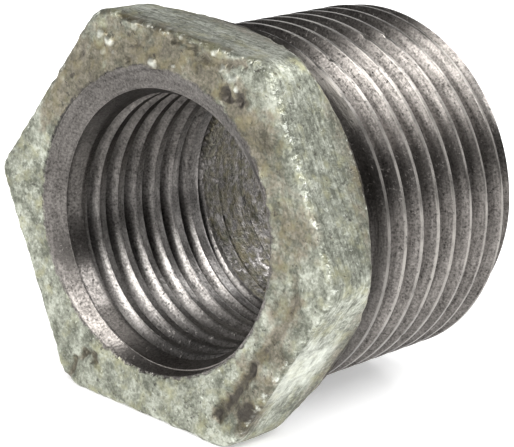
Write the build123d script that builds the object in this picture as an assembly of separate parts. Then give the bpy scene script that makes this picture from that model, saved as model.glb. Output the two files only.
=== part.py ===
"""Hex bushing, 3/4 to 1/2 taper pipe thread: one malleable iron casting, zinc coated, threads cut.

It is drawn standing on its mouth, axis up +Z, and then laid on one flat of its head: the mouth
faces -Y, the thread end faces +Y and the lowest flat lies at Z = 0. Lengths are in millimetres,
and a height is the distance from the mouth.
"""
import os
from math import ceil, cos, pi, radians, sin, tan

from build123d import *

# Form that both threads share: 14 to the inch, 60 degree flanks, 1 in 16 on the diameter
pitch = 25.4 / 14
taper = 1 / 32  # radius lost for each millimetre of height
flank_slope = tan(radians(30))
sharp_depth = pitch / 2 / flank_slope
crest_trim = 0.096 * pitch  # taken off the sharp ridge
root_trim = 0.050 * pitch  # left in the sharp groove

# Outside thread, 3/4 nominal
male_pitch_radius = 24.579 / 2  # at the thread end
male_crest_on_right = 9.29  # height where the first ridge passes +X
end_chamfer = 0.9
neck_length = 1.9  # plain run-out behind the head
neck_relief = 0.05  # the neck lies this far under the grooves

# Inside thread, 1/2 nominal
female_pitch_radius = 19.772 / 2  # at the mouth
female_start = 0.9  # height where the groove begins, at -X
female_full_length = 9.5
female_run_out = 5.4  # over which the groove then fades away
female_lead_turns = 0.5

# Head
across_flats = 28.4
corner_radius = 2.7
head_length = 6.3
front_softening = 0.4
rear_chamfer_inset = 0.1  # the rear cone starts this far inside the flats
rear_chamfer_slope = 46  # degrees from the rear face
rear_softening = 0.4

# Whole fitting and waterway
overall_length = 23.4
bore_radius = 9.15
bore_exit_chamfer = 0.5

# Mouth: a cast countersink that stands off the thread axis, a small step, and a 60 degree lead-in
mouth_radius = 11.03
mouth_off_centre = (-0.67, -0.41)
countersink_radius = 10.18
countersink_depth = 0.55
step_width = 0.08
lead_in_depth = 1.65
reamed_radius = 9.55  # at the lead-in, tapering to the bore

# Cutters that follow a thread
turns_per_cutter = 2
points_per_turn = 16
clear = 0.4  # how far a cutter stands off the surface that it cuts
cutter_gap = 0.04  # between one turn of a cutter and the next


def male_crest_radius(height):
    pitch_radius = male_pitch_radius + (overall_length - height) * taper
    return pitch_radius + sharp_depth / 2 - crest_trim


def male_root_radius(height):
    return male_crest_radius(height) - (sharp_depth - crest_trim - root_trim)


def female_root_radius(height):
    pitch_radius = female_pitch_radius - height * taper
    return pitch_radius + sharp_depth / 2 - root_trim


def revolved(*corners):
    """Solid turned about Z from (radius, height) corners."""
    return revolve(Plane.XZ * make_face(Polyline(*corners, close=True)), Axis.Z)


def head():
    """Hexagon with cast corners, a softened front and a nut-like cone behind."""
    outline = RegularPolygon(across_flats / 2, 6, major_radius=False)
    outline = fillet(outline.vertices(), corner_radius)
    body = extrude(outline, head_length)
    body = fillet(body.edges().group_by(Axis.Z)[0], front_softening)

    cone_start = across_flats / 2 - rear_chamfer_inset
    rim = across_flats
    drop = (rim - cone_start) * tan(radians(rear_chamfer_slope))
    body &= revolved(
        (0, -drop),
        (rim, head_length - drop),
        (cone_start, head_length),
        (0, head_length),
    )
    return fillet(body.edges().group_by(Axis.Z)[-1], rear_softening)


def threaded_end():
    """Tapered end at the size of its ridges, with the neck behind the head."""
    thread_start = head_length + neck_length
    neck_radius = male_root_radius(thread_start) - neck_relief
    start_radius = male_crest_radius(thread_start)
    rise = (start_radius - neck_radius) * flank_slope
    chamfer_start = overall_length - end_chamfer
    return revolved(
        (0, head_length / 2),
        (neck_radius, head_length / 2),
        (neck_radius, thread_start),
        (start_radius, thread_start + rise),
        (male_crest_radius(chamfer_start), chamfer_start),
        (male_crest_radius(chamfer_start) - end_chamfer, overall_length),
        (0, overall_length),
    )


def waterway():
    """Lead-in, reamed taper, bore and the chamfer at the thread end, under one axis."""
    taper_end = lead_in_depth + (reamed_radius - bore_radius) / taper
    exit_start = overall_length - bore_exit_chamfer
    return revolved(
        (0, 0),
        (countersink_radius - step_width, 0),
        (countersink_radius - step_width, countersink_depth),
        (reamed_radius, lead_in_depth),
        (bore_radius, taper_end),
        (bore_radius, exit_start),
        (bore_radius + bore_exit_chamfer, overall_length),
        (0, overall_length),
    )


def countersink():
    """Shallow cast funnel: its rim stands off the thread axis and its floor is on it."""
    rim = Pos(*mouth_off_centre, 0) * Circle(mouth_radius)
    floor = Pos(0, 0, countersink_depth) * Circle(countersink_radius)
    return loft([rim, floor], ruled=True)


def thread_cutters(corners, guide, start_angle, turns):
    """Closed solids that follow a thread end to end, a few turns each.

    corners are the (outward, upward) corners of the groove's section, from the guide. The guide
    gives the radius and height that the groove has reached after so many turns.
    """
    cutters = []
    steps = turns_per_cutter * points_per_turn
    for k in range(ceil(turns / turns_per_cutter)):
        edges = []
        for outward, upward in corners:
            points = []
            for i in range(steps + 1):
                turn = k * turns_per_cutter + i / points_per_turn
                radius, height = guide(turn)
                angle = start_angle + 2 * pi * turn
                reach = radius + outward
                points.append((reach * cos(angle), reach * sin(angle), height + upward))
            edges.append(Edge.make_spline(points))
        pairs = zip(edges, edges[1:] + edges[:1])
        sides = [Face.make_surface_from_curves(one, other) for one, other in pairs]
        ends = [Face(Wire.make_polygon([edge @ k for edge in edges], close=True)) for k in (0, 1)]
        cutters.append(Solid(Shell(sides + ends)))
    return cutters


def male_thread_cutters():
    """The groove from the neck out past the thread end. Its guide is the ridges' surface."""
    root_half = root_trim * flank_slope
    mouth_half = pitch / 2 - crest_trim * flank_slope
    depth = sharp_depth - crest_trim - root_trim
    corners = [
        (-depth, -root_half),
        (0, -mouth_half),
        (clear, -mouth_half),
        (clear, mouth_half),
        (0, mouth_half),
        (-depth, root_half),
    ]
    start = male_crest_on_right - pitch * 1.5

    def guide(turn):
        height = start + pitch * turn
        return male_crest_radius(height), height

    return thread_cutters(corners, guide, 0, (overall_length - start) / pitch + 1)


def female_thread_cutters():
    """The groove from the lead-in to where it fades into the bore. Its guide is its root."""
    root_half = root_trim * flank_slope
    mouth_half = (pitch - cutter_gap) / 2
    depth = (mouth_half - root_half) / flank_slope
    corners = [
        (0, -root_half),
        (0, root_half),
        (-depth, mouth_half),
        (-depth - clear, mouth_half),
        (-depth - clear, -mouth_half),
        (-depth, -mouth_half),
    ]
    idle_radius = bore_radius - neck_relief

    def guide(turn):
        height = female_start + pitch * turn
        lead = min(1, turn / female_lead_turns)
        fade = (height - female_start - female_full_length) / female_run_out
        fade = min(1, max(0, fade)) ** 1.5
        full = female_root_radius(height) - idle_radius
        return idle_radius + full * lead * (1 - fade), height

    turns = (female_full_length + female_run_out) / pitch
    return thread_cutters(corners, guide, pi, turns)


shank = threaded_end() - male_thread_cutters()
bushing = head() + shank - waterway() - countersink() - female_thread_cutters()
on_its_flat = Pos(0, -overall_length / 2, across_flats / 2) * Rot(X=-90)
hex_bushing = on_its_flat * bushing

os.makedirs("parts", exist_ok=True)
export_step(hex_bushing, "parts/hex_bushing.step")
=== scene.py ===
import math
import bmesh
import bpy
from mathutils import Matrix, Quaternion, Vector, noise


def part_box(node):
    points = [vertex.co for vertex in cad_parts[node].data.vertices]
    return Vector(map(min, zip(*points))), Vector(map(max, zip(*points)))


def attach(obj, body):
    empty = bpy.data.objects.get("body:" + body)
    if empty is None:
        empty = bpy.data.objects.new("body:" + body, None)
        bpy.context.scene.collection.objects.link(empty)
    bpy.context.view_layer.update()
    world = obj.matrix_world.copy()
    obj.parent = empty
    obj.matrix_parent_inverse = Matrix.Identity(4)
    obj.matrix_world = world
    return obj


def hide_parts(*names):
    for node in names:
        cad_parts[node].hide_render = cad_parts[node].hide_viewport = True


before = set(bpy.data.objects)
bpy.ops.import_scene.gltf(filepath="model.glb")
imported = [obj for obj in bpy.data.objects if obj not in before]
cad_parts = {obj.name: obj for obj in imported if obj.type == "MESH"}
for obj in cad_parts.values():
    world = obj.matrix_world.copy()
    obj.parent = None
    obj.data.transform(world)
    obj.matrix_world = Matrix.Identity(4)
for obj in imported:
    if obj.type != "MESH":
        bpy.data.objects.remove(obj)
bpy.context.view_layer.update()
mm = 0.001

# The fitting lies on one flat of its head, mouth towards -Y. Heights run from the mouth along +Y,
# and angles run from +X down towards the floor, the way a right-handed thread climbs.
cadLow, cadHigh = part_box("hex_bushing")
mouthY = cadLow[1]
fitting = {
    "overallLength": (cadHigh[1] - cadLow[1]) / mm,
    "acrossFlats": (cadHigh[2] - cadLow[2]) / mm,
    "threadShift": (-0.03, -0.22),  # the threads were cut a little below the middle of the casting
    "pitch": 25.4 / 14,
    "taper": 1 / 32,
    "columns": 288,
    "columnCrowding": 0.45,  # more columns at the six corners than between them
    "boreCast": 0.52,  # 1 is full zinc: it is thin in the bore, and iron shows through
    "boreCastFade": 1.5,  # over this length, from where the thread has run out
    "crispAngle": 30,  # edges sharper than this are shaded as cut edges
}
flankSlope = math.tan(math.radians(30))
hexCentre = Vector((0.0, fitting["acrossFlats"] / 2))
threadCentre = hexCentre + Vector(fitting["threadShift"])
evenAngles = [2 * math.pi * i / fitting["columns"] for i in range(fitting["columns"])]
angles = [even - fitting["columnCrowding"] * math.sin(6 * even) / 6 for even in evenAngles]

mathNode, rangeNode = "ShaderNodeMath", "ShaderNodeMapRange"
mixNode, noiseNode = "ShaderNodeMix", "ShaderNodeTexNoise"


def liveSocket(sockets, key=0):
    live = [socket for socket in sockets if socket.enabled]
    return live[key] if isinstance(key, int) else next(s for s in live if s.name == key)


def addNode(tree, kind, inputs=(), **settings):
    # Inputs are sockets, nodes (their first output) or plain values, in order or by name
    node = tree.nodes.new(kind)
    for name, value in settings.items():
        setattr(node, name, value)
    pairs = inputs.items() if isinstance(inputs, dict) else enumerate(inputs)
    for key, value in pairs:
        socket = liveSocket(node.inputs, key)
        if isinstance(value, bpy.types.Node):
            value = liveSocket(value.outputs)
        if isinstance(value, bpy.types.NodeSocket):
            tree.links.new(value, socket)
        elif value is not None:
            socket.default_value = value
    return node


def linearColour(code):
    channels = [int(code[i : i + 2], 16) / 255 for i in (1, 3, 5)]
    curved = [c / 12.92 if c <= 0.04045 else ((c + 0.055) / 1.055) ** 2.4 for c in channels]
    return (*curved, 1.0)


def addObject(name, data):
    piece = bpy.data.objects.new(name, data)
    bpy.context.scene.collection.objects.link(piece)
    return piece


# The skin of the casting is one closed mesh, made before its threads are cut
skin = bmesh.new()
sleeveLayer = skin.verts.layers.float.new("sleeve")  # 1 outside thread, 2 inside thread
castLayer = skin.verts.layers.float.new("castSkin")  # 1 as cast, 0 machined
wornLayer = skin.verts.layers.float.new("worn")  # 1 where handling has rubbed an edge
freshAndLitLayer = skin.verts.layers.float.new("freshAndLit")  # 1 on drips of bright zinc, and painted light on the lower right flat
grimeAndShadeLayer = skin.verts.layers.float.new("grimeAndShade")  # 1 in dirty folds, pits and stains; also painted shade in the folds, the pits and the bore


def addPoint(x, z, height, cast, sleeve=0.0, worn=0.0):
    vert = skin.verts.new((x, height, z))
    vert[castLayer] = cast
    vert[sleeveLayer] = sleeve
    vert[wornLayer] = worn
    return vert


def addRing(radii, heights, cast, centre=threadCentre, worn=0.0):
    ring = []
    for i, angle in enumerate(angles):
        radius = radii[i] if isinstance(radii, list) else radii
        height = heights[i] if isinstance(heights, list) else heights
        x = centre[0] + radius * math.cos(angle)
        z = centre[1] - radius * math.sin(angle)
        ring.append(addPoint(x, z, height, cast, worn=worn))
    return ring


def joinRings(*rings):
    for lower, upper in zip(rings, rings[1:]):
        for i in range(len(lower)):
            skin.faces.new((lower[i - 1], lower[i], upper[i], upper[i - 1]))


def chipDepth(sleeve, angle, height):
    depth = 0.0
    for chipAngle, chipHeight, size, deep in sleeve["chips"]:
        around = (angle - chipAngle + 180) % 360 - 180
        gap = math.hypot(math.radians(around) * sleeve["chipRadius"], height - chipHeight) / size
        depth = max(depth, deep * (1 - gap**2)) if gap < 1 else depth
    return depth


def addSleeve(sleeve):
    # A strip that winds round the axis like the thread it will carry, so that ridges run along it
    pitch, count = fitting["pitch"], fitting["columns"]
    steps = sleeve["rowOffsets"]
    perTurn = len(steps)
    rows = perTurn * math.ceil((sleeve["to"] - sleeve["from"]) / pitch)

    def makePoint(i, row):
        turns = row // perTurn + angles[i] / (2 * math.pi)
        height = sleeve["from"] + pitch * turns + steps[row % perTurn]
        radius = sleeve["surface"](height) - chipDepth(sleeve, math.degrees(angles[i]), height)
        x = threadCentre[0] + radius * math.cos(angles[i])
        z = threadCentre[1] - radius * math.sin(angles[i])
        past = (height - sleeve["castFrom"]) / fitting["boreCastFade"]
        cast = min(fitting["boreCast"], max(0.0, past))
        return addPoint(x, z, height, cast, sleeve["zone"])

    columns = [[makePoint(i, row) for row in range(rows + 1)] for i in range(count)]
    columns[0] += [makePoint(0, row) for row in range(rows + 1, rows + perTurn + 1)]
    columns.append(columns[0][perTurn:])
    faces = []
    for left, right in zip(columns, columns[1:]):
        for row in range(rows):
            faces.append(skin.faces.new((left[row], right[row], right[row + 1], left[row + 1])))
    top = [column[rows] for column in columns[:-1]]
    seam = columns[0][rows : rows + perTurn + 1]
    return faces, top, seam


def cutSleeve(faces, height, keepAbove):
    # dict.fromkeys drops repeats and keeps the order, so each run gives the same mesh
    faces = [face for face in faces if face.is_valid]
    edges = dict.fromkeys(edge for face in faces for edge in face.edges)
    verts = dict.fromkeys(vert for face in faces for vert in face.verts)
    bmesh.ops.bisect_plane(
        skin,
        geom=[*verts, *edges, *faces],
        dist=1e-5,
        plane_co=(0, height, 0),
        plane_no=(0, 1, 0),
        clear_inner=keepAbove,
        clear_outer=not keepAbove,
    )


def fillAnnulus(height):
    near = 1e-4
    edges = [
        edge for edge in skin.edges
        if edge.is_boundary and all(abs(vert.co.y - height) < near for vert in edge.verts)
    ]
    bmesh.ops.triangle_fill(skin, edges=edges, use_beauty=True, normal=(0, 1, 0))


# Outside thread, 3/4 nominal; every length is in millimetres
outside = {
    "zone": 1.0,
    "castFrom": 99.0,  # machined all over
    "neckRadius": 12.02,
    "neckEnd": 8.2,
    "crestAtMouth": 13.465,  # radius of the worn ridges, carried back to the mouth
    "crestTaper": 0.025,
    "rootAtMouth": 12.326,
    "rootFlat": 0.052,
    "ridgeOnRight": 9.29,  # height where the first ridge passes +X
    "endChamfer": 0.5,
    "spare": 0.5,  # the sleeve is made this much too long, then trimmed
    "side": 1.0,
    "ridgeRounding": 0.05,
    "wear": (0.10, 1.2, 0.34, 4.0),  # small chips: depth, size, how many, and seed
    "chipRadius": 13,  # what turns a chip's degrees into a length
    # knocks in the ridges: degrees round from +X, height, size across and depth
    "chips": (
        (285.6, 16.05, 0.28, 0.12), (286.4, 17.9, 0.25, 0.12), (291.7, 10.6, 0.25, 0.10),
        (36.7, 15.1, 0.25, 0.12), (349.0, 20.9, 0.2, 0.12), (150.0, 13.2, 0.4, 0.14),
        (205.0, 17.4, 0.3, 0.12), (97.0, 19.6, 0.3, 0.12),
    ),
    "rowOffsets": (-0.84, -0.77, -0.70, -0.40, -0.08, 0.0, 0.08, 0.40, 0.70, 0.77, 0.84, 0.907),
}
outside["groove"] = outside["ridgeOnRight"] - fitting["pitch"] / 2
outside["idleRadius"] = outside["crestAtMouth"]
outside["lead"] = (0.0, 1.0)  # the groove runs from the neck to the end without a fade
outside["fade"] = (2 * fitting["overallLength"], 1.0)


def outsideSurface(height):
    crest = outside["crestAtMouth"] - outside["crestTaper"] * height
    rise = outside["neckRadius"] + max(0, height - outside["neckEnd"]) / flankSlope
    chamferStart = fitting["overallLength"] - outside["endChamfer"]
    return min(crest, rise) - max(0, height - chamferStart)


# Inside thread, 1/2 nominal, with its lead-in and the plain bore behind it
inside = {
    "zone": 2.0,
    "castFrom": 13.2,  # behind this height the bore is as it was cast
    "chips": (),
    "countersinkDepth": 0.55,
    "stepRadius": 10.10,
    "leadInDepth": 1.65,
    "reamedRadius": 9.55,
    "boreRadius": 9.15,
    "boreChamfer": 0.5,
    "boreGap": 0.5,  # from the last turn of the sleeve to the first ring of the bore
    "boreRings": 14,
    "chamferRings": ((0, 1), (0.9, 0.1), (1.1, 0), (2, 0)),  # outwards and back, in chamfers
    "rootAtMouth": 10.581,
    "rootFlat": 0.052,
    "grooveOnLeft": 0.9,  # height where the groove begins, at -X
    "leadTurns": 0.5,
    "fullLength": 9.5,
    "runOut": 5.4,
    "side": -1.0,
    "ridgeRounding": 0.03,
    "wear": (0.06, 1.1, 0.34, 9.0),
    "rowOffsets": (-0.70, -0.62, -0.54, -0.30, -0.08, 0.0, 0.08, 0.30, 0.54, 0.62, 0.70, 0.907),
}
inside["groove"] = inside["grooveOnLeft"] - fitting["pitch"] / 2
inside["idleRadius"] = inside["boreRadius"] - 0.1  # just under the bore, so that nothing is cut
inside["lead"] = (inside["grooveOnLeft"], inside["leadTurns"] * fitting["pitch"])
inside["fade"] = (inside["grooveOnLeft"] + inside["fullLength"], inside["runOut"])


def insideSurface(height):
    past = max(0, height - inside["countersinkDepth"])
    leadInSlope = (inside["stepRadius"] - inside["reamedRadius"]) / (
        inside["leadInDepth"] - inside["countersinkDepth"]
    )
    leadIn = inside["stepRadius"] - past * leadInSlope
    reamed = inside["reamedRadius"] - (height - inside["leadInDepth"]) * fitting["taper"]
    if height < inside["leadInDepth"]:
        return leadIn
    return max(reamed, inside["boreRadius"])


def roundShare(distance, size):
    # 1 at the middle of a mark, falling smoothly to 0 at its rim
    share = max(0.0, 1.0 - distance / size)
    return share * share * (3 - 2 * share)


# Head: hexagon with cast corners, and a cone behind like a nut's
head = {
    "cornerRadii": (2.4, 2.7, 2.5, 1.5, 2.6, 2.7),  # from the corner at +X, going round downwards
    "flatLean": (0.10, 0.0, 0.10, 0.10, 0.24, 0.12),  # how far each flat draws in towards the rear
    "leanBlend": 0.15,  # share of a flat over which its lean meets the next one's
    "length": 6.2,
    "faceTilt": (0.0154, 0.0182),  # the mouth face isn't quite square to the threads
    "frontSoftness": 0.5,
    "rearSoftness": 0.35,
    "coneRadius": 14.15,  # where the cone meets the rear face
    "coneSlope": math.tan(math.radians(46)),
    "mouthRadius": 11.03,
    "mouthShift": (-0.67, 0.41),  # the mouth was cast off the thread axis
    "mouthSoftness": 0.2,
    "floorRadius": 10.18,
    "faceRings": 34,
    "flatRings": 18,
    "coneRings": 5,
    "frontSteps": 6,
    "rearSteps": (0.25, 0.5, 0.75, 1.0),
    "coneEndSteps": (0.33, 0.67, 1.0),
    "rearRings": (12.9, 12.25),
    "countersinkRings": (0.0, 0.25, 0.5, 0.75, 0.93),
    # 1 is full zinc: it thins down the countersink, and is scraped beside it
    "countersinkCast": 0.3,
    "scrapedCast": (0.55, 3.5),
    "mouthLip": (0.03, 0.02, 0.45, 0.15),  # outside the mouth, depth, zinc and wear
    # spacing and height of the cast relief
    "waves": ((8.0, 0.06), (2.6, 0.03), (1.1, 0.03), (0.5, 0.024)),
    "beads": (0.5, 0.11),  # the same for beads of zinc along the worn front edge
    # what lies on the zinc, with painted shade in the bore and painted light on the lower right flat:
    # strengths are 1 for full dirt or bright metal
    "boreReach": 11,
    "boreShade": 0.6,  # painted shade that darkens the bore
    "sides": (12, 0.4),  # outside this radius and behind this height
    "rearGrime": (2.6, 0.5),  # how far from the rear face, and strength
    "rearLine": (0.25, 1.4),
    "edgeGrime": 0.45,
    "paintedLightFlat": (30, 28, 0.75),  # painted light on the lower right flat: degrees round, how far either way, and strength
}
mouthCentre = threadCentre + Vector(head["mouthShift"])


def hexRadius(angle):
    flat = fitting["acrossFlats"] / 2
    rounding = head["cornerRadii"][round(angle / (math.pi / 3)) % 6]
    corner = (flat - rounding) / math.cos(math.radians(30))
    off = abs((angle + math.pi / 6) % (math.pi / 3) - math.pi / 6)
    straight = flat / math.cos(math.pi / 6 - off)
    reach = rounding**2 - (corner * math.sin(off)) ** 2
    if reach <= 0:
        return straight
    arc = corner * math.cos(off) + math.sqrt(reach)
    tangent = math.atan2(rounding / 2, corner + rounding * math.cos(math.pi / 6))
    return arc if off < tangent else straight


def leanShare(angle):
    # Flats run between corners; the lean of two neighbours is shared at their corner
    turn = (angle / (math.pi / 3)) % 6
    flat, along = int(turn), turn % 1
    here, before, after = (head["flatLean"][k % 6] for k in (flat, flat - 1, flat + 1))
    blend = head["leanBlend"]
    if along < blend:
        return here + (before - here) * (0.5 - along / (2 * blend))
    if along > 1 - blend:
        return here + (after - here) * (0.5 - (1 - along) / (2 * blend))
    return here


def bend(start, corner, end, share):
    return [
        (1 - share) ** 2 * a + 2 * share * (1 - share) * b + share**2 * c
        for a, b, c in zip(start, corner, end)
    ]


def headProfile(angle):
    # (radius, height, wear) down one column, from the front edge round to the rear face
    radius, lean = hexRadius(angle), leanShare(angle)
    front, rear, slope = head["frontSoftness"], head["rearSoftness"], head["coneSlope"]
    # the cone was turned on the thread axis, a little below the middle of the casting
    away = Vector((math.cos(angle), -math.sin(angle)))
    coneRadius = head["coneRadius"] + (threadCentre - hexCentre).dot(away)
    length = head["length"]
    points = []
    steps = head["frontSteps"] + 1
    for k in range(1, steps):
        turn = math.pi / 2 * k / steps
        worn = 1 - abs(k - steps / 2) / 4
        points.append((radius - front * (1 - math.sin(turn)), front * (1 - math.cos(turn)), worn))
    rearRadius = radius - lean
    coneWidth = rearRadius - coneRadius
    edge = length - coneWidth * slope
    along = min(rear, coneWidth * 0.45)
    flatEnd = edge - rear
    for k in range(head["flatRings"]):
        share = k / (head["flatRings"] - 1)
        points.append((radius - lean * share, front + (flatEnd - front) * share, 0.0))
    onCone = (rearRadius - along, edge + along * slope)
    for share in head["rearSteps"]:
        worn = 1 - abs(share - 0.6) / 0.6
        points.append((*bend((rearRadius, flatEnd), (rearRadius, edge), onCone, share), worn))
    coneEnd = (coneRadius + along, length - along * slope)
    for k in range(1, head["coneRings"]):
        share = k / (head["coneRings"] - 1)
        points.append((*(a + (b - a) * share for a, b in zip(onCone, coneEnd)), 0.0))
    onFace = (coneRadius - rear, length)
    for share in head["coneEndSteps"]:
        points.append((*bend(coneEnd, (coneRadius, length), onFace, share), 0.4))
    return points + [(ring, length, 0.0) for ring in head["rearRings"]]


def buildHead():
    floor = inside["countersinkDepth"]
    rings = []
    for share in head["countersinkRings"]:
        centre = threadCentre.lerp(mouthCentre, share)
        radius = head["floorRadius"] + (head["mouthRadius"] - head["floorRadius"]) * share
        cast = head["countersinkCast"] * share**2
        rings.append(addRing(radius, floor * (1 - share), cast, centre))
    out, lip, cast, worn = head["mouthLip"]
    rings.append(addRing(head["mouthRadius"] + out, lip, cast, mouthCentre, worn))
    rim = head["mouthRadius"] + head["mouthSoftness"]
    inner = [mouthCentre + rim * Vector((math.cos(a), -math.sin(a))) for a in angles]
    front = head["frontSoftness"]
    outer = []
    for a in angles:
        outer.append(hexCentre + (hexRadius(a) - front) * Vector((math.cos(a), -math.sin(a))))
    for k in range(head["faceRings"]):
        share = k / (head["faceRings"] - 1)
        cast = min(1.0, head["scrapedCast"][0] + head["scrapedCast"][1] * share)
        spots = [a.lerp(b, share) for a, b in zip(inner, outer)]
        rings.append([addPoint(p[0], p[1], 0.0, cast) for p in spots])
    profiles = [headProfile(angle) for angle in angles]
    for k in range(len(profiles[0])):
        radii = [profile[k][0] for profile in profiles]
        heights = [profile[k][1] for profile in profiles]
        rings.append(addRing(radii, heights, 1.0, hexCentre, profiles[0][k][2]))
    joinRings(*rings)


# What dipping, knocks and dirt left on the mouth face, with painted shade in its pits and folds, as places
# from the thread axis
faceMarks = {
    "depth": 1.6,  # they fade out over this length, behind the face
    "wander": (0.55, 0.35),  # spacing and size of the waver in their borders
    "dripSpread": 1.3,
    "dripHeight": 0.75,
    "dripShine": 0.8,
    "stainWander": 1.4,
    "stainCore": 0.35,  # share of its size over which a stain is even
    # drips of zinc: x, z, size, height
    "drips": (
        (-2.2, 11.75, 0.6, 0.30), (-7.45, 12.5, 0.5, 0.14), (-6.5, 12.3, 0.55, 0.30),
        (-6.9, 11.4, 0.4, 0.12), (-6.0, 11.6, 0.3, 0.1), (-3.1, 14.4, 0.5, 0.22), (-1.4, 14.5, 0.45, 0.2),
        (0.0, 14.2, 0.4, 0.2), (-0.3, 12.0, 0.3, 0.16), (3.4, 14.0, 0.45, 0.22), (4.3, 13.0, 0.4, 0.2),
        (5.2, 12.6, 0.55, 0.25), (5.6, 12.0, 0.4, 0.2), (-4.3, 13.9, 0.5, 0.2),
        (-13.2, 1.35, 0.3, 0.10),
    ),
    # pits: x, z, size, depth
    "pits": (
        (-4.1, 12.8, 0.5, 0.2), (-4.65, 11.35, 0.45, 0.2), (-9.1, 10.6, 0.35, 0.12),
        (4.9, 11.4, 0.6, 0.3), (6.15, 11.3, 0.5, 0.25), (2.2, 13.2, 0.4, 0.15),
        (7.2, 10.2, 0.4, 0.15),
    ),
    # folds: width, depth, stain and painted shade, then their points
    "folds": (
        (1.0, 0.16, 0.85, ((12.9, -1.3), (12.5, -2.5), (11.15, -4.9), (10.2, -6.4), (9.5, -7.3))),
        (0.85, 0.30, 1.3, ((9.5, -7.3), (9.0, -8.5), (7.8, -10.55), (6.9, -11.6))),
        (0.5, 0.18, 0.9, ((-7.8, -13.7), (-7.0, -11.9), (-6.2, -11.1), (-5.5, -11.1), (-5.3, -11.65))),
        (0.5, 0.20, 0.8, ((-5.75, 14.4), (-3.6, 14.6), (-1.6, 14.4), (-0.6, 14.0), (1.4, 13.95))),
        (0.5, 0.16, 0.8, ((1.4, 13.95), (3.0, 13.3), (4.4, 13.5), (6.1, 13.9))),
        (0.6, 0.10, 0.4, ((10.3, 6.8), (11.4, 4.6), (12.2, 2.6), (12.6, 0.4), (12.9, -1.3))),
    ),
    # dark stains: x, z, size, strength
    "stains": (
        (9.7, -10.6, 1.3, 1.3), (9.6, -7.4, 1.2, 0.7), (9.7, -11.9, 1.1, 1.1),
        (4.9, 11.4, 0.8, 1.5), (6.2, 11.3, 0.7, 1.4), (-8.6, 9.2, 3.4, 0.8),
        (-5.2, 11.6, 3.2, 0.65), (-1.2, 12.6, 3.4, 0.7), (2.6, 12.2, 2.6, 0.65), (-10.9, 6.4, 2.6, 0.6),
        (7.6, 9.0, 2.6, 0.7), (9.0, 6.6, 2.2, 0.5), (11.0, 0.9, 1.4, 0.5), (-4.0, 11.9, 2.2, 0.8),
        (5.6, 11.0, 1.6, 0.8), (11.4, -5.4, 1.6, 0.6), (12.2, 3.6, 2.4, 0.55),
        (10.9, -8.6, 2.2, 0.5), (12.0, -2.4, 1.8, 0.45),
    ),
}


def distanceToLine(point, line):
    best = 1e9
    for start, end in zip(line, line[1:]):
        start, end = Vector(start), Vector(end)
        run = end - start
        share = min(1.0, max(0.0, (point - start).dot(run) / run.length_squared))
        best = min(best, (point - start - run * share).length)
    return best


def castRelief(place):
    lift = 0.0
    for spacing, height in head["waves"]:
        lift += height * noise.noise(place / spacing + Vector((3.1, 7.7, spacing)))
    return lift


def markFace(vert):
    # Lift of the surface at this point, and what lies on it there, with painted shade in pits and folds
    spot = Vector((vert.co.x, vert.co.z)) - threadCentre
    spacing, size = faceMarks["wander"]
    wander = size * noise.noise(vert.co / spacing)
    near = max(0.0, 1 - vert.co.y / faceMarks["depth"])
    lift = freshAndLit = grimeAndShade = 0.0
    for x, z, size, height in faceMarks["drips"]:
        reach = size * faceMarks["dripSpread"]
        share = roundShare((spot - Vector((x, z))).length + wander, reach)
        lift += faceMarks["dripHeight"] * height * share
        freshAndLit = max(freshAndLit, faceMarks["dripShine"] * share)
    # pits are darkened with dirt and painted shade
    for x, z, size, depth in faceMarks["pits"]:
        share = roundShare((spot - Vector((x, z))).length + wander, size)
        lift -= depth * share
        grimeAndShade = max(grimeAndShade, share)
    # folds are darkened with their stain and painted shade
    for width, depth, stainAndShade, line in faceMarks["folds"]:
        share = roundShare(abs(distanceToLine(spot, line) + wander), width)
        lift -= depth * share
        grimeAndShade = max(grimeAndShade, stainAndShade * share)
    for x, z, size, strength in faceMarks["stains"]:
        away = (spot - Vector((x, z))).length / size + faceMarks["stainWander"] * wander
        share = roundShare(max(0.0, away - faceMarks["stainCore"]), 1.0)
        grimeAndShade = max(grimeAndShade, strength * share)
    return lift * near, freshAndLit * near, grimeAndShade * near


def ageHead():
    skin.normal_update()
    moves = []
    rear = head["length"]
    spacing, size = head["beads"]
    filmDepth, filmGrime = head["rearGrime"]
    lineWidth, lineGrime = head["rearLine"]
    paintedLightAngle, paintedLightWidth, paintedLightStrength = head["paintedLightFlat"]
    for vert in skin.verts:
        cast = vert[castLayer]
        if cast <= 0:
            continue
        onFace = vert.co.y < faceMarks["depth"]
        lift, freshAndLit, grimeAndShade = markFace(vert) if onFace else (0.0, 0.0, 0.0)
        spot = Vector((vert.co.x, vert.co.z)) - hexCentre
        angle = math.degrees(math.atan2(-spot[1], spot[0])) % 360
        # the bore is darkened with painted shade
        if spot.length < head["boreReach"] and vert.co.y > rear:
            grimeAndShade = head["boreShade"]
        elif spot.length > head["sides"][0] and vert.co.y > head["sides"][1]:
            film = roundShare(abs(vert.co.y - rear), filmDepth)
            line = lineGrime if vert.co.y > rear - lineWidth else 0.0
            grimeAndShade = max(grimeAndShade, filmGrime * film, line, head["edgeGrime"] * vert[wornLayer])
            # the lower right flat is given painted light as bright zinc
            shine = paintedLightStrength * roundShare(abs(angle - paintedLightAngle), paintedLightWidth)
            freshAndLit = max(freshAndLit, shine * (1 - film))
        vert[freshAndLitLayer], vert[grimeAndShadeLayer] = freshAndLit, grimeAndShade
        lift += castRelief(vert.co)
        lift += vert[wornLayer] * size * noise.noise(vert.co / spacing)
        moves.append((vert, vert.normal * lift * cast))
    for vert, move in moves:
        vert.co += move


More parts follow.
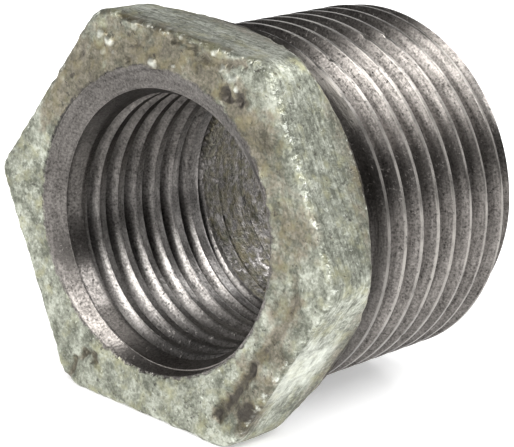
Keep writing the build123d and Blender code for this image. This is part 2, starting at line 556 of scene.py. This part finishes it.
def tiltFace():
    # the tilt fades out down the countersink, whose inner rim is square to the threads
    tiltX, tiltZ = head["faceTilt"]
    coneWidth = head["mouthRadius"] - head["floorRadius"]
    for vert in skin.verts:
        place = Vector((vert.co.x, vert.co.z))
        reach = ((place - threadCentre).length - head["floorRadius"]) / coneWidth
        if reach > 0.01 and vert.co.y < head["length"]:
            offset = place - hexCentre
            fading = min(1.0, reach) * (1 - vert.co.y / head["length"])
            vert.co.y += (tiltX * offset[0] + tiltZ * offset[1]) * fading


def buildShank():
    length, pitch = fitting["overallLength"], fitting["pitch"]
    sleeve = dict(outside, surface=outsideSurface, to=length + outside["spare"])
    turnsBack = math.ceil((outside["groove"] - head["length"]) / pitch) + 1
    sleeve["from"] = outside["groove"] - pitch * turnsBack
    faces, _, _ = addSleeve(sleeve)
    cutSleeve(faces, head["length"], True)
    cutSleeve(faces, length, False)


def buildWaterway():
    sleeve = dict(inside, surface=insideSurface)
    sleeve["from"] = inside["groove"] - fitting["pitch"]
    sleeve["to"] = sum(inside["fade"])
    faces, top, seam = addSleeve(sleeve)
    cutSleeve(faces, inside["countersinkDepth"], True)
    length, bore, chamfer = fitting["overallLength"], inside["boreRadius"], inside["boreChamfer"]
    firstHeight = max(vert.co.y for vert in seam) + inside["boreGap"]
    steps = inside["boreRings"]
    rise = (length - chamfer - firstHeight) / steps
    rings = [addRing(bore, firstHeight + rise * k, fitting["boreCast"]) for k in range(steps)]
    for out, back in inside["chamferRings"]:
        rings.append(addRing(bore + chamfer * out, length - chamfer * back, 0.0))
    joinRings(*rings)
    first = rings[0]
    for i in range(1, len(first)):
        skin.faces.new((top[i - 1], top[i], first[i], first[i - 1]))
    skin.faces.new([top[-1], *reversed(seam), first[0], first[-1]])


def buildSkin():
    buildHead()
    buildShank()
    buildWaterway()
    for height in (inside["countersinkDepth"], head["length"], fitting["overallLength"]):
        fillAnnulus(height)
    bmesh.ops.recalc_face_normals(skin, faces=skin.faces)
    ageHead()
    tiltFace()
    for vert in skin.verts:
        low = max(vert.co.z, 0.0) * mm  # it rests on its lowest flat
        vert.co = Vector((vert.co.x * mm, mouthY + vert.co.y * mm, low))
    for face in skin.faces:
        face.smooth = True
    mesh = bpy.data.meshes.new("bushing_skin")
    skin.to_mesh(mesh)
    openEdges = sum(1 for edge in skin.edges if not edge.is_manifold)
    print("skin:", len(skin.verts), "points,", len(skin.faces), "faces,", openEdges, "open edges")
    skin.free()
    return addObject("hex_bushing_skin", mesh)


def threadTree():
    # Cuts a tapered thread in the points of one sleeve; both threads use it
    tree = bpy.data.node_groups.new("taperThread", "GeometryNodeTree")
    sizes = (
        "Zone", "Side", "Axis X", "Axis Z", "Mouth Y", "Pitch", "Taper", "Root At Mouth", "Root Flat",
        "Groove Height", "Idle Radius", "Lead Start", "Lead Length", "Fade Start", "Fade Length",
        "Ridge Rounding", "Chip Depth", "Chip Size", "Chip Share", "Seed",
    )
    sockets = {}
    kinds = {"Geometry": "Geometry", **dict.fromkeys(sizes, "Float"), "Material": "Material"}
    for name, kind in kinds.items():
        item = tree.interface.new_socket(name, in_out="INPUT", socket_type="NodeSocket" + kind)
        sockets[name] = item.identifier
    tree.interface.new_socket("Geometry", in_out="OUTPUT", socket_type="NodeSocketGeometry")
    source = addNode(tree, "NodeGroupInput").outputs

    # polar place of each point about the thread's axis
    place = addNode(tree, "ShaderNodeSeparateXYZ", (addNode(tree, "GeometryNodeInputPosition"),))
    x = addNode(tree, mathNode, (place.outputs[0], source["Axis X"]), operation="SUBTRACT")
    z = addNode(tree, mathNode, (place.outputs[2], source["Axis Z"]), operation="SUBTRACT")
    down = addNode(tree, mathNode, (z, -1.0), operation="MULTIPLY")
    height = addNode(tree, mathNode, (place.outputs[1], source["Mouth Y"]), operation="SUBTRACT")
    angle = addNode(tree, mathNode, (down, x), operation="ARCTAN2")
    square = addNode(tree, mathNode, (x, x), operation="MULTIPLY")
    squares = addNode(tree, mathNode, (z, z, square), operation="MULTIPLY_ADD")
    radius = addNode(tree, mathNode, (squares,), operation="SQRT")

    # how far each point lies from the middle of the nearest turn of the groove
    turn = addNode(tree, mathNode, (angle, 2 * math.pi), operation="DIVIDE")
    climb = addNode(tree, mathNode, (height, source["Groove Height"]), operation="SUBTRACT")
    climbTurns = addNode(tree, mathNode, (climb, source["Pitch"]), operation="DIVIDE")
    phase = addNode(tree, mathNode, (climbTurns, turn), operation="SUBTRACT")
    wrapped = addNode(tree, mathNode, (phase, 0.5, -0.5), operation="WRAP")
    along = addNode(tree, mathNode, (wrapped, source["Pitch"]), operation="MULTIPLY")
    away = addNode(tree, mathNode, (along,), operation="ABSOLUTE")
    centre = addNode(tree, mathNode, (height, along), operation="SUBTRACT")

    # the groove fades in at its start and out at its end
    ways = []
    for name in ("Lead", "Fade"):
        way = addNode(tree, mathNode, (centre, source[name + " Start"]), operation="SUBTRACT")
        inputs = (way, source[name + " Length"])
        ways.append(addNode(tree, mathNode, inputs, operation="DIVIDE", use_clamp=True))
    lead, fade = ways
    faded = addNode(tree, mathNode, (fade, 1.5), operation="POWER")  # it starts gently
    left = addNode(tree, mathNode, (1.0, faded), operation="SUBTRACT")
    share = addNode(tree, mathNode, (lead, left), operation="MULTIPLY")
    lost = addNode(tree, mathNode, (height, source["Taper"]), operation="MULTIPLY")
    fullRoot = addNode(tree, mathNode, (source["Root At Mouth"], lost), operation="SUBTRACT")
    depth = addNode(tree, mathNode, (fullRoot, source["Idle Radius"]), operation="SUBTRACT")
    root = addNode(tree, mathNode, (depth, share, source["Idle Radius"]), operation="MULTIPLY_ADD")

    # 60 degree flanks rise from the root; Side turns the same rule inside out for the bore
    flank = addNode(tree, mathNode, (away, source["Root Flat"]), operation="SUBTRACT")
    flank = addNode(tree, mathNode, (flank, 0.0), operation="MAXIMUM")
    flank = addNode(tree, mathNode, (flank, flankSlope), operation="DIVIDE")
    groove = addNode(tree, mathNode, (root, source["Side"], flank), operation="MULTIPLY_ADD")
    body = addNode(tree, mathNode, (radius, source["Side"]), operation="MULTIPLY")

    # small chips knocked out of the ridges, steep at their rims, where a noise is high
    perChip = addNode(tree, mathNode, (1.0, source["Chip Size"]), operation="DIVIDE")
    inputs = {"W": source["Seed"], "Scale": perChip, "Detail": 2.0, "Roughness": 0.6}
    spot = addNode(tree, noiseNode, inputs, noise_dimensions="4D")
    chipTop = addNode(tree, mathNode, (1.0, source["Chip Share"]), operation="SUBTRACT")
    chipEnd = addNode(tree, mathNode, (source["Chip Depth"], 3.0), operation="MULTIPLY")
    chip = addNode(tree, rangeNode, (spot.outputs[0], chipTop, 1.0, 0.0, chipEnd))
    chipCut = addNode(tree, mathNode, (chip, source["Chip Depth"]), operation="MINIMUM")
    chipped = addNode(tree, mathNode, (body, chipCut), operation="SUBTRACT")
    inputs = (chipped, groove, source["Ridge Rounding"])
    cut = addNode(tree, mathNode, inputs, operation="SMOOTH_MIN")
    reach = addNode(tree, mathNode, (cut, source["Side"]), operation="MULTIPLY")

    # points go in or out along their own radius
    grow = addNode(tree, mathNode, (reach, radius), operation="DIVIDE")
    newX = addNode(tree, mathNode, (x, grow, source["Axis X"]), operation="MULTIPLY_ADD")
    newZ = addNode(tree, mathNode, (z, grow, source["Axis Z"]), operation="MULTIPLY_ADD")
    spotNow = addNode(tree, "ShaderNodeCombineXYZ", (newX, place.outputs[1], newZ))
    inputs = {"Name": "sleeve"}
    sleeve = addNode(tree, "GeometryNodeInputNamedAttribute", inputs, data_type="FLOAT")
    inputs = (sleeve.outputs[0], source["Zone"], None)
    onSleeve = addNode(tree, "FunctionNodeCompare", inputs, operation="EQUAL")

    # materials read how far a point lies from the middle of a groove, where there is one
    spared = addNode(tree, mathNode, (groove, body), operation="GREATER_THAN")
    spared = addNode(tree, mathNode, (spared, source["Pitch"]), operation="MULTIPLY")
    spared = addNode(tree, mathNode, (spared, 0.5), operation="MULTIPLY")
    fromRoot = addNode(tree, mathNode, (away, spared), operation="MAXIMUM")
    geometry = source["Geometry"]
    inputs = {"Geometry": geometry, "Selection": onSleeve, "Name": "fromRoot", "Value": fromRoot}
    noted = addNode(tree, "GeometryNodeStoreNamedAttribute", inputs, data_type="FLOAT")
    inputs = {"Geometry": noted, "Selection": onSleeve, "Position": spotNow}
    moved = addNode(tree, "GeometryNodeSetPosition", inputs)
    plain = addNode(tree, "GeometryNodeRealizeInstances", (moved,))
    inputs = {"Geometry": plain, "Material": source["Material"]}
    dressed = addNode(tree, "GeometryNodeSetMaterial", inputs)
    addNode(tree, "NodeGroupOutput", (dressed,))
    return tree, sockets


def cutThreads(piece, material):
    tree, sockets = threadTree()
    for name, thread in (("outsideThread", outside), ("insideThread", inside)):
        leadStart, leadLength = thread["lead"]
        fadeStart, fadeLength = thread["fade"]
        chipDeep, chipSize, chipShare, seed = thread["wear"]
        values = {
            "Zone": thread["zone"],
            "Side": thread["side"],
            "Axis X": threadCentre[0] * mm,
            "Axis Z": threadCentre[1] * mm,
            "Mouth Y": mouthY,
            "Pitch": fitting["pitch"] * mm,
            "Taper": fitting["taper"],
            "Root At Mouth": thread["rootAtMouth"] * mm,
            "Root Flat": thread["rootFlat"] * mm,
            "Groove Height": thread["groove"] * mm,
            "Idle Radius": thread["idleRadius"] * mm,
            "Lead Start": leadStart * mm,
            "Lead Length": leadLength * mm,
            "Fade Start": fadeStart * mm,
            "Fade Length": fadeLength * mm,
            "Ridge Rounding": thread["ridgeRounding"] * mm,
            "Chip Depth": chipDeep * mm,
            "Chip Size": chipSize * mm,
            "Chip Share": chipShare,
            "Seed": seed,
            "Material": material,
        }
        modifier = piece.modifiers.new(name, "NODES")
        modifier.node_group = tree
        for key, value in values.items():
            modifier[sockets[key]] = value


# Each finish has its colours, its patterns with their real sizes in millimetres, and its limits
zinc = {
    "pale": "#BDC0B4",
    "mid": "#8C8F83",
    "dark": "#606258",
    "olive": "#9E9D7F",
    # bright zinc, also used as painted light on the lower right flat
    "freshAndLit": "#ECF0E6",
    "rust": "#CDC2BB",  # multiplies what is under it
    # dirt, which also paints shade in the bore, the pits and the folds
    "dirtAndShade": "#3C3835",
    # size, detail and roughness
    "noises": {"patch": (3.0, 2.0, 0.5), "mottle": (0.95, 5.0, 0.72), "grain": (0.2, 1.0, 0.5)},
    # the same, after the slice that each takes of its noise
    "slices": {
        "tint": (2.1, 1.3, 3.0, 0.6),
        "hole": (8.3, 0.5, 3.0, 0.65),
        "seam": (9.7, 0.42, 3.0, 0.6),
        "fleck": (4.4, 0.26, 2.0, 0.5),
    },
    "crystal": 0.30,
    "streak": (2.4, 0.28),  # along a flat and across it
    # weight of each pattern in the tone, which is about 1.33 on average, and its height as bump
    "toneStart": -0.25,
    "weights": {"patch": 0.5, "mottle": 1.1, "streak": 0.9, "grain": 0.5, "crystal": 0.16},
    "relief": {
        "mottle": 0.07, "grain": 0.02, "streak": 0.045, "hole": -0.03, "fleck": 0.015, "worn": 0.05,
    },
    # where each shade begins and ends on its pattern, and its shares there
    "limits": {
        "dark": (1.09, 1.33, 0.9, 0.0),
        "pale": (1.33, 1.62, 0.0, 0.9),
        "olive": (0.50, 0.68, 0.0, 0.7),
        "rust": (0.05, 0.60, 0.0, 1.0),
        "dirtAndShade": (0.70, 1.20, 0.0, 0.85),
        "hole": (0.60, 0.68, 0.0, 0.75),
        "drip": (0.15, 0.55, 0.0, 0.8),
        "seam": (0.54, 0.68, 0.0, 0.8),
        "fleck": (0.64, 0.80, 0.0, 0.7),
        "roughness": (0.9, 1.6, 0.60, 0.40),
    },
    "shinyRoughness": 0.28,
}
iron = {
    "pale": "#BBB7B4",
    "dark": "#454240",
    "film": "#C6C4C2",  # multiplies everything but the lower side of the inside thread, so that side is painted lighter
    "ridge": "#96928D",
    # dirt, which also paints shade in the roots, on the inside crests, on the neck and high in the mouth
    "dirtAndShade": "#222120",
    "cloud": 1.5,
    "grain": 0.17,
    "turning": (3.5, 0.30),  # tool marks round the axis are finer than this, but would not show
    "speck": 0.26,
    "brushed": 0.7,
    "toneStart": 0.1,
    "weights": {"turning": 0.6, "cloud": 0.4, "grain": 0.8},  # the tone is about 1.0 on average
    "relief": {"turning": 0.02, "grain": 0.010, "speck": -0.015},
    "tones": (0.72, 1.26),
    "roughness": (0.75, 1.25, 0.41, 0.27),
    "ridgeRoughness": 0.30,
    "insideRadius": 11,
    "neckRadius": 11.8,
    "ridgeRadius": 12.6,
    # where each change begins and ends, in millimetres
    "spans": {
        "threadStart": (1.5, 2.0),  # behind the mouth
        "neck": (7.5, 11.0),
        "paintedLightBelow": (-4.5, 1.0),  # up from the axis: painted lighter below, painted shade above
        "ridge": (0.79, 0.84),  # from the middle of a groove
        "crest": (0.57, 0.66),
        "root": (0.02, 0.17, 0.42),  # its start, then its end outside and inside
    },
    "rubbing": (0.36, 0.58, 0.35, 1.0),
    # dirt and painted shade in the thread roots
    "rootDirtAndShade": 0.9,
    # painted dark reflection on the inside crests
    "crestShade": 0.4,
    # dirt and painted shade on the neck beside the head
    "neckDirtAndShade": 0.8,
    # painted shade high in the mouth of the inside thread
    "mouthShade": 0.35,
}


def dippedZinc(tree, place):
    # Hot-dip zinc on rough castings dries matt and greenish, with a fine mottle of crystals,
    # runs along the flats, bright drips, and a brown tinge where the iron shows through
    shades = {k: linearColour(v) for k, v in zinc.items() if isinstance(v, str)}
    limits = zinc["limits"]
    made = {}
    for name, (size, detail, roughness) in zinc["noises"].items():
        made[name] = addNode(tree, noiseNode, (place, 1 / (size * mm), detail, roughness))
    for name, (cut, size, detail, roughness) in zinc["slices"].items():
        inputs = (place, cut, 1 / (size * mm), detail, roughness)
        made[name] = addNode(tree, noiseNode, inputs, noise_dimensions="4D")
    along, across = (1 / (size * mm) for size in zinc["streak"])
    stretched = addNode(tree, "ShaderNodeMapping", {"Vector": place, "Scale": (along, across, along)})
    made["streak"] = addNode(tree, noiseNode, (stretched, 1.0, 4.0, 0.62))
    cells = {"Vector": place, "Scale": 1 / (zinc["crystal"] * mm)}
    cell = addNode(tree, "ShaderNodeTexVoronoi", cells).outputs["Color"]
    made["crystal"] = addNode(tree, "ShaderNodeSeparateColor", (cell,))

    tone = zinc["toneStart"]
    for name, weight in zinc["weights"].items():
        tone = addNode(tree, mathNode, (made[name], weight, tone), operation="MULTIPLY_ADD")
    colour = shades["mid"]
    for source, shade in ((tone, "dark"), (tone, "pale"), (made["tint"], "olive")):
        share = addNode(tree, rangeNode, (source, *limits[shade]))
        colour = addNode(tree, mixNode, (share, colour, shades[shade]), data_type="RGBA")

    # rust, dirt and painted shade lie where the mesh says, with ragged borders
    grimeAndShade = addNode(tree, "ShaderNodeAttribute", attribute_name="grimeAndShade").outputs["Fac"]
    ragged = addNode(tree, mathNode, (made["mottle"], 2.0, -1.0), operation="MULTIPLY_ADD")
    dirtyAndShaded = addNode(tree, mathNode, (grimeAndShade, ragged), operation="ADD")
    there = addNode(tree, rangeNode, (grimeAndShade, 0.02, 0.15))
    rust = addNode(tree, rangeNode, (dirtyAndShaded, *limits["rust"]))
    rust = addNode(tree, mathNode, (rust, there), operation="MULTIPLY")
    colour = addNode(
        tree, mixNode, (rust, colour, shades["rust"]), data_type="RGBA", blend_type="MULTIPLY"
    )
    dirtAndShade = addNode(tree, rangeNode, (dirtyAndShaded, *limits["dirtAndShade"]))
    dirtAndShade = addNode(tree, mathNode, (dirtAndShade, there), operation="MULTIPLY")
    made["hole"] = addNode(tree, rangeNode, (made["hole"], *limits["hole"]))
    dark = addNode(tree, mathNode, (dirtAndShade, made["hole"]), operation="MAXIMUM")
    colour = addNode(tree, mixNode, (dark, colour, shades["dirtAndShade"]), data_type="RGBA")

    # bright metal on the drips, on rubbed edges and in loose flecks, and painted light on the lower right
    # flat
    freshAndLit = addNode(tree, "ShaderNodeAttribute", attribute_name="freshAndLit").outputs["Fac"]
    freshAndLit = addNode(tree, mathNode, (freshAndLit, made["mottle"]), operation="MULTIPLY")
    freshAndLit = addNode(tree, rangeNode, (freshAndLit, *limits["drip"]))
    worn = addNode(tree, "ShaderNodeAttribute", attribute_name="worn").outputs["Fac"]
    broken = addNode(tree, rangeNode, (made["seam"], *limits["seam"]))
    worn = addNode(tree, mathNode, (worn, broken), operation="MULTIPLY")
    clear = addNode(tree, mathNode, (1.0, dark), operation="SUBTRACT")
    made["worn"] = addNode(tree, mathNode, (worn, clear), operation="MULTIPLY")
    fleck = addNode(tree, rangeNode, (made["fleck"], *limits["fleck"]))
    cleanAndLit = addNode(tree, mathNode, (1.0, there), operation="SUBTRACT")
    made["fleck"] = addNode(tree, mathNode, (fleck, cleanAndLit), operation="MULTIPLY")
    shine = addNode(tree, mathNode, (made["fleck"], freshAndLit), operation="MAXIMUM")
    bright = addNode(tree, mathNode, (shine, made["worn"]), operation="MAXIMUM")
    colour = addNode(tree, mixNode, (bright, colour, shades["freshAndLit"]), data_type="RGBA")

    dull = addNode(tree, rangeNode, (tone, *limits["roughness"]))
    roughness = addNode(tree, mixNode, (shine, dull, zinc["shinyRoughness"]), data_type="FLOAT")
    height = 0.0
    for name, depth in zinc["relief"].items():
        inputs = (made[name], depth * mm, height)
        height = addNode(tree, mathNode, inputs, operation="MULTIPLY_ADD")
    return colour, roughness, height


def cutIron(tree, place):
    # Malleable iron cut after dipping: dark with old oil, with painted light low in the inside thread and
    # painted shade high in it, tool marks that run round the axis, outside ridges rubbed bright, and dirt
    # and painted shade in the roots
    shades = {k: linearColour(v) for k, v in iron.items() if isinstance(v, str)}
    spans = {name: [size * mm for size in sizes] for name, sizes in iron["spans"].items()}
    axis = (threadCentre[0] * mm, mouthY, threadCentre[1] * mm)
    fromAxis = addNode(tree, "ShaderNodeVectorMath", (place, axis), operation="SUBTRACT")
    part = addNode(tree, "ShaderNodeSeparateXYZ", (fromAxis,)).outputs
    level = addNode(tree, "ShaderNodeCombineXYZ", {"X": part["X"], "Z": part["Z"]})
    radius = addNode(tree, "ShaderNodeVectorMath", (level,), operation="LENGTH").outputs["Value"]
    along, across = (1 / (size * mm) for size in iron["turning"])
    lathe = addNode(tree, mathNode, (part["Y"], 0.4, radius), operation="MULTIPLY_ADD")
    lathe = addNode(tree, mathNode, (lathe, across), operation="MULTIPLY")
    rings = addNode(tree, "ShaderNodeCombineXYZ", {"Y": lathe})
    slow = addNode(tree, "ShaderNodeVectorMath", {0: fromAxis, "Scale": along}, operation="SCALE")
    turned = addNode(tree, "ShaderNodeVectorMath", (slow, rings), operation="ADD")
    speck = (place, 2.3, 1 / (iron["speck"] * mm), 3.0, 0.65)
    speck = addNode(tree, noiseNode, speck, noise_dimensions="4D")
    made = {
        "turning": addNode(tree, noiseNode, (turned, 1.0, 4.0, 0.68)),
        "cloud": addNode(tree, noiseNode, (place, 1 / (iron["cloud"] * mm), 4.0, 0.65)),
        "grain": addNode(tree, noiseNode, (place, 1 / (iron["grain"] * mm), 2.0, 0.6)),
        "speck": addNode(tree, rangeNode, (speck, 0.60, 0.68, 0.0, 0.7)),
    }

    tone = iron["toneStart"]
    for name, weight in iron["weights"].items():
        tone = addNode(tree, mathNode, (made[name], weight, tone), operation="MULTIPLY_ADD")
    share = addNode(tree, rangeNode, (tone, *iron["tones"]))
    colour = addNode(tree, mixNode, (share, shades["dark"], shades["pale"]), data_type="RGBA")

    # inside the thread, where its lower side is painted lighter than its upper side
    within = addNode(tree, mathNode, (radius, iron["insideRadius"] * mm), operation="LESS_THAN")
    deep = addNode(tree, rangeNode, (part["Y"], *spans["threadStart"]))
    within = addNode(tree, mathNode, (within, deep), operation="MULTIPLY")
    paintedLightBelow = addNode(tree, rangeNode, (part["Z"], *spans["paintedLightBelow"], 1.0, 0.0))
    cleanAndLit = addNode(tree, mathNode, (within, paintedLightBelow), operation="MULTIPLY")
    film = addNode(tree, mathNode, (1.0, cleanAndLit), operation="SUBTRACT")
    colour = addNode(
        tree, mixNode, (film, colour, shades["film"]), data_type="RGBA", blend_type="MULTIPLY"
    )

    # the attribute fromRoot is 0 off the threads and at the middle of the groove
    fromRoot = addNode(tree, "ShaderNodeAttribute", attribute_name="fromRoot").outputs["Fac"]
    threaded = addNode(tree, mathNode, (fromRoot, 0.0), operation="GREATER_THAN")
    ridge = addNode(tree, rangeNode, (fromRoot, *spans["ridge"]))
    rubbing = addNode(tree, rangeNode, (made["cloud"], *iron["rubbing"]))
    ridge = addNode(tree, mathNode, (ridge, rubbing), operation="MULTIPLY")
    outer = addNode(tree, mathNode, (radius, iron["ridgeRadius"] * mm), operation="GREATER_THAN")
    ridge = addNode(tree, mathNode, (ridge, outer), operation="MULTIPLY")
    colour = addNode(tree, mixNode, (ridge, colour, shades["ridge"]), data_type="RGBA")

    # dirt and painted shade in the roots, painted dark reflection on the inside crests, dirt and painted
    # shade on the neck, and painted shade high in the mouth
    reach = addNode(tree, rangeNode, (within, 0.0, 1.0, *spans["root"][1:]))
    root = addNode(tree, rangeNode, (fromRoot, spans["root"][0], reach, iron["rootDirtAndShade"], 0.0))
    root = addNode(tree, mathNode, (root, threaded), operation="MULTIPLY")
    crest = addNode(tree, rangeNode, (fromRoot, *spans["crest"], 0.0, iron["crestShade"]))
    crest = addNode(tree, mathNode, (crest, within), operation="MULTIPLY")
    neck = addNode(tree, rangeNode, (part["Y"], *spans["neck"], iron["neckDirtAndShade"], 0.0))
    onShank = addNode(tree, mathNode, (radius, iron["neckRadius"] * mm), operation="GREATER_THAN")
    neck = addNode(tree, mathNode, (neck, onShank), operation="MULTIPLY")
    dirtyAndShaded = iron["mouthShade"]
    paintedShadeAbove = addNode(tree, mathNode, (paintedLightBelow, -dirtyAndShaded, dirtyAndShaded), operation="MULTIPLY_ADD")
    inMouth = addNode(tree, mathNode, (1.0, onShank), operation="SUBTRACT")
    paintedShadeAbove = addNode(tree, mathNode, (paintedShadeAbove, inMouth), operation="MULTIPLY")
    filthAndShade = root
    for layer in (crest, neck, paintedShadeAbove, made["speck"]):
        filthAndShade = addNode(tree, mathNode, (filthAndShade, layer), operation="MAXIMUM")
    colour = addNode(tree, mixNode, (filthAndShade, colour, shades["dirtAndShade"]), data_type="RGBA")

    roughness = addNode(tree, rangeNode, (tone, *iron["roughness"]))
    roughness = addNode(tree, mixNode, (ridge, roughness, iron["ridgeRoughness"]), data_type="FLOAT")
    height = 0.0
    for name, depth in iron["relief"].items():
        inputs = (made[name], depth * mm, height)
        height = addNode(tree, mathNode, inputs, operation="MULTIPLY_ADD")
    return colour, roughness, height


def galvanisedIron():
    material = bpy.data.materials.new("galvanised malleable iron")
    material.use_nodes = True
    tree = material.node_tree
    shader = tree.nodes["Principled BSDF"]
    place = addNode(tree, "ShaderNodeTexCoord").outputs["Object"]
    dipped = dippedZinc(tree, place)
    cut = cutIron(tree, place)
    # the cutter left a ragged edge in the zinc
    castSkin = addNode(tree, "ShaderNodeAttribute", attribute_name="castSkin").outputs["Fac"]
    ragged = addNode(tree, noiseNode, (place, 1 / (0.7 * mm), 4.0, 0.65))
    share = addNode(tree, mathNode, (ragged, 0.9, -0.45), operation="MULTIPLY_ADD")
    share = addNode(tree, mathNode, (share, castSkin), operation="ADD")
    share = addNode(tree, rangeNode, (share, 0.44, 0.60))
    colour = addNode(tree, mixNode, (share, cut[0], dipped[0]), data_type="RGBA")
    roughness = addNode(tree, mixNode, (share, cut[1], dipped[1]), data_type="FLOAT")
    height = addNode(tree, mixNode, (share, cut[2], dipped[2]), data_type="FLOAT")
    metal = addNode(tree, rangeNode, (share, 0.0, 1.0, 1.0, 0.85))
    bump = addNode(tree, "ShaderNodeBump", {"Strength": 1.0, "Distance": 1.0, "Height": height})
    # tool marks run round the axis, so the shine on them spreads along it
    shader.inputs["Anisotropic"].default_value = iron["brushed"]
    spread = addNode(tree, "ShaderNodeCombineXYZ", {"Y": 1.0})
    for name, node in (
        ("Base Color", colour), ("Roughness", roughness), ("Metallic", metal), ("Normal", bump),
        ("Tangent", spread),
    ):
        tree.links.new(liveSocket(node.outputs), shader.inputs[name])
    return material


def makePlain(piece, name):
    graph = bpy.context.evaluated_depsgraph_get()
    mesh = bpy.data.meshes.new_from_object(
        piece.evaluated_get(graph), preserve_all_data_layers=True, depsgraph=graph
    )
    mesh.set_sharp_from_angle(angle=math.radians(fitting["crispAngle"]))
    made = addObject(name, mesh)
    old = piece.data
    bpy.data.objects.remove(piece)
    bpy.data.meshes.remove(old)
    return made


coat = galvanisedIron()
print("finish:", coat.name)
blank = buildSkin()
cutThreads(blank, coat)
bushing = makePlain(blank, "galvanised_bushing")
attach(bushing, "root")
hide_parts("hex_bushing")
print("bushing:", len(bushing.data.polygons), "faces")


# Floor, lamps and camera
studio = {
    "floorSize": 6.0,
    "floorColour": "#E8E8E8",
    "floorGlow": 0.40,
    "worldColour": "#FFFFFF",
    "worldStrength": 0.15,
    # from: degrees round from the mouth side towards +X, then up; brightness: 1 is white
    "lamps": {
        "front box": {
            "from": (0, 40), "distance": 0.7, "size": (0.36, 0.75), "brightness": 7.5, "colour": "#FFFEFC",
        },
        "right box": {
            "from": (84, 54), "distance": 0.7, "size": (0.40, 0.36), "brightness": 10.0, "colour": "#FFFFFF",
        },
        "back box": {
            "from": (172, 48), "distance": 0.7, "size": (0.30, 0.25), "brightness": 6.9, "colour": "#FFFFFF",
        },
        "back wall": {
            "from": (180, 20), "distance": 0.9, "size": (2.2, 0.40), "brightness": 1.5, "colour": "#FFFFFF",
        },
    },
    "camera": (171.03, -181.99, 88.09),  # from the thread's axis at the mouth, in millimetres
    "azimuth": 41.69,
    "elevation": 19.19,
    "roll": 5.10,
    "lens": 263.95,
}


def addFloor():
    half = studio["floorSize"] / 2
    corners = [(-half, -half, 0), (half, -half, 0), (half, half, 0), (-half, half, 0)]
    mesh = bpy.data.meshes.new("floor")
    mesh.from_pydata(corners, [], [(0, 1, 2, 3)])
    floor = addObject("floor", mesh)
    material = bpy.data.materials.new("white card")
    material.use_nodes = True
    tree = material.node_tree
    shader = tree.nodes["Principled BSDF"]
    shader.inputs["Base Color"].default_value = linearColour(studio["floorColour"])
    shader.inputs["Roughness"].default_value = 0.9
    # whitened where it is seen straight or in the metal, so that it keeps a pale shadow
    path = addNode(tree, "ShaderNodeLightPath").outputs
    seen = path["Is Camera Ray"]
    for ray in ("Is Glossy Ray", "Is Transmission Ray"):
        seen = addNode(tree, mathNode, (seen, path[ray]), operation="MAXIMUM")
    glow = addNode(tree, mathNode, (seen, studio["floorGlow"]), operation="MULTIPLY")
    tree.links.new(glow.outputs[0], shader.inputs["Emission Strength"])
    shader.inputs["Emission Color"].default_value = (1, 1, 1, 1)
    mesh.materials.append(material)


def addWorld():
    world = bpy.data.worlds.new("studio")
    bpy.context.scene.world = world
    world.use_nodes = True
    background = world.node_tree.nodes["Background"]
    background.inputs["Color"].default_value = linearColour(studio["worldColour"])
    background.inputs["Strength"].default_value = studio["worldStrength"]


def addLamp(name, lamp):
    data = bpy.data.lights.new(name, "AREA")
    data.shape = "RECTANGLE"
    data.size, data.size_y = lamp["size"]
    data.energy = lamp["brightness"] * math.pi * data.size * data.size_y
    data.color = linearColour(lamp["colour"])[:3]
    azimuth, elevation = (math.radians(a) for a in lamp["from"])
    level = math.cos(elevation)
    away = Vector((math.sin(azimuth) * level, -math.cos(azimuth) * level, math.sin(elevation)))
    middle = Vector((0, 0, fitting["acrossFlats"] / 2 * mm))
    piece = addObject(name, data)
    piece.location = middle + away * lamp["distance"]
    piece.rotation_euler = (-away).to_track_quat("-Z", "Y").to_euler()


def addCamera():
    data = bpy.data.cameras.new("camera")
    data.lens = studio["lens"]
    data.sensor_width = 36
    data.clip_start = 0.01
    camera = addObject("camera", data)
    bpy.context.scene.camera = camera
    azimuth = math.radians(studio["azimuth"])
    elevation = math.radians(studio["elevation"])
    level = math.cos(elevation)
    ahead = Vector((-math.sin(azimuth) * level, math.cos(azimuth) * level, -math.sin(elevation)))
    x, y, z = studio["camera"]
    camera.location = ((threadCentre[0] + x) * mm, mouthY + y * mm, (threadCentre[1] + z) * mm)
    camera.rotation_mode = "QUATERNION"
    aim = ahead.to_track_quat("-Z", "Y")
    camera.rotation_quaternion = aim @ Quaternion((0, 0, 1), math.radians(studio["roll"]))


addFloor()
addWorld()
for name, lamp in studio["lamps"].items():
    addLamp(name, lamp)
addCamera()
print("studio: floor, camera and", len(studio["lamps"]), "lamps")
bpy.context.scene.view_settings.view_transform = "Standard"
